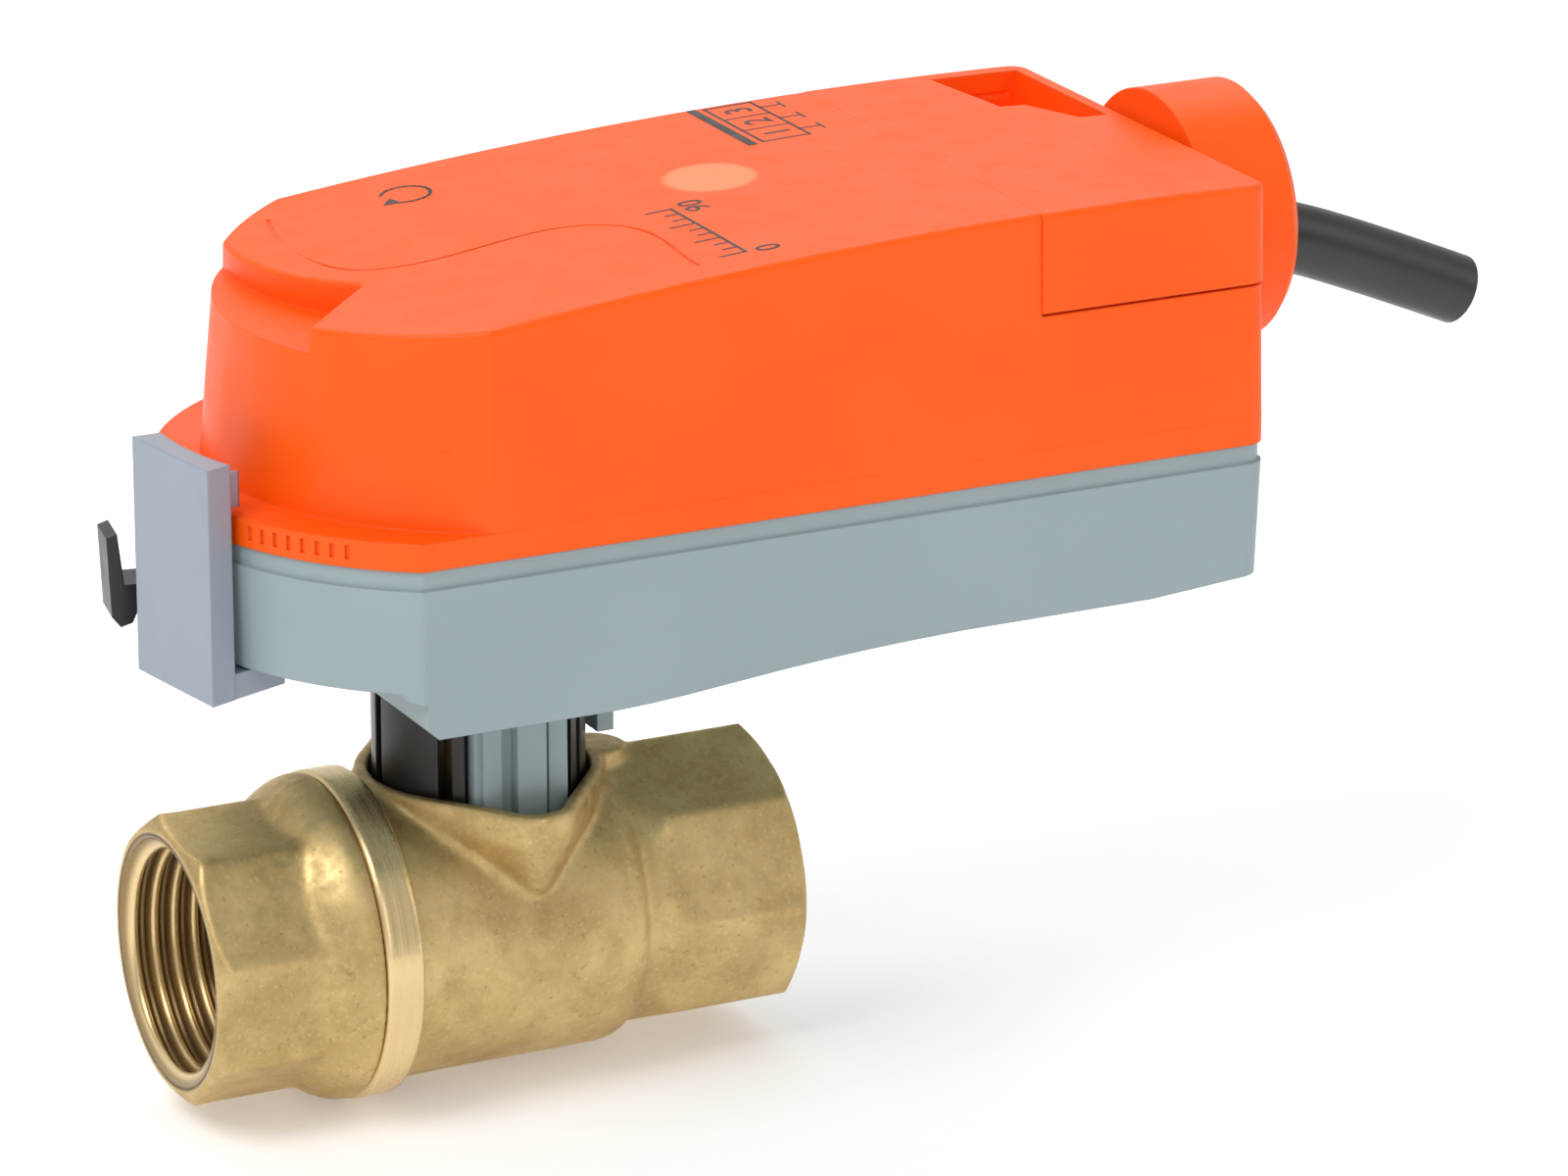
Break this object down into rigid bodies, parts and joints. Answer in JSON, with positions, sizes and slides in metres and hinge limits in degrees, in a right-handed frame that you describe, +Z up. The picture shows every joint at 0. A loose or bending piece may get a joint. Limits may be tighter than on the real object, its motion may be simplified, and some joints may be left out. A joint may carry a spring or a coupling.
{
  "type": "zone valve",
  "caption": "Brass ball valve with two threaded ports and a push-on electric rotary actuator with a terminal lid and a cable.",
  "frame": {"origin": "centre of the inlet mouth, on the pipe axis", "axes": "+X along the pipe from the inlet to the outlet and the cable end, +Z up the valve stem, +Y completes the frame"},
  "size_m": [0.1265, 0.0444, 0.0773],
  "materials": {
    "forged_brass": "forged and tumbled, turned bright at the ring and threads",
    "turned_brass": "turned",
    "orange_plastic": "fine moulded grain",
    "grey_plastic": "fine moulded grain",
    "black_plastic": "moulded",
    "cable_jacket": "soft sheen",
    "core_insulation": "smooth",
    "circuit_laminate": "solder mask",
    "component_plastic": "moulded",
    "terminal_plastic": "moulded",
    "plated_steel": "zinc plated",
    "motor_steel": "drawn can",
    "gear_nylon": "moulded natural acetal",
    "coupling_nylon": "glass filled nylon",
    "chromed_ball": "polished",
    "seat_ptfe": "turned",
    "seal_rubber": "moulded"
  },
  "bodies": {
    "housing": {"valve_body": "forged_brass", "end_connector": "forged_brass", "joint_seal": "seal_rubber", "seat_rings": "seat_ptfe", "seat_seals": "seal_rubber", "thrust_washer": "seat_ptfe", "base_housing": "grey_plastic", "cover": "orange_plastic", "cable_snout": "orange_plastic", "cable": "cable_jacket", "cable_cores": "core_insulation", "strain_relief": "black_plastic", "circuit_board": "circuit_laminate", "board_parts": "component_plastic", "terminal_block": "terminal_plastic", "terminal_screws": "plated_steel", "motor": "motor_steel", "gear_plate": "plated_steel", "plate_screws": "plated_steel", "axle_pins": "plated_steel", "output_bush": "black_plastic", "lock_ring": "black_plastic", "housing_screws": "plated_steel"},
    "stem_drive": {"ball": "chromed_ball", "stem": "turned_brass", "stem_seals": "seal_rubber", "drive_coupling": "coupling_nylon", "output_gear": "gear_nylon"},
    "idler_2": {"second_gear": "gear_nylon"},
    "idler_1": {"first_gear": "gear_nylon"},
    "motor_rotor": {"motor_pinion": "gear_nylon"},
    "flow_clip": {"flow_limit_clip": "grey_plastic"},
    "release_lever": {"release_lever": "black_plastic"},
    "terminal_lid": {"terminal_cover": "orange_plastic"}
  },
  "joints": [
    {"name": "stem_turn", "type": "hinge", "parent": "housing", "child": "stem_drive", "pos_m": [0.0284, 0, 0.03], "axis": [0, 0, 1], "range_deg": [0, 90]},
    {"name": "idler_2_spin", "type": "hinge", "parent": "housing", "child": "idler_2", "pos_m": [0.0494, 0, 0.034], "axis": [0, 0, 1], "range_deg": [-365, 5]},
    {"name": "idler_1_spin", "type": "hinge", "parent": "housing", "child": "idler_1", "pos_m": [0.05972, 0.00723, 0.038], "axis": [0, 0, 1], "range_deg": [-5, 905]},
    {"name": "motor_spin", "type": "hinge", "parent": "housing", "child": "motor_rotor", "pos_m": [0.07342, 0.00278, 0.04], "axis": [0, 0, 1], "range_deg": [-2705, 5]},
    {"name": "flow_clip_turn", "type": "hinge", "parent": "housing", "child": "flow_clip", "pos_m": [0.0284, 0, 0.035], "axis": [0, 0, 1], "range_deg": [0, 24]},
    {"name": "release_pull", "type": "slide", "parent": "housing", "child": "release_lever", "axis": [-0.9816, 0.1908, 0], "range_m": [0, 0.0015], "stiffness_N_per_m": 200},
    {"name": "terminal_lid_lift", "type": "slide", "parent": "housing", "child": "terminal_lid", "axis": [0, 0, 1], "range_m": [0, 0.018]}
  ],
  "couplings": [
    {"joint": "idler_2_spin", "follows": "stem_turn", "ratio": -4},
    {"joint": "idler_1_spin", "follows": "stem_turn", "ratio": 10},
    {"joint": "motor_spin", "follows": "stem_turn", "ratio": -30}
  ]
}
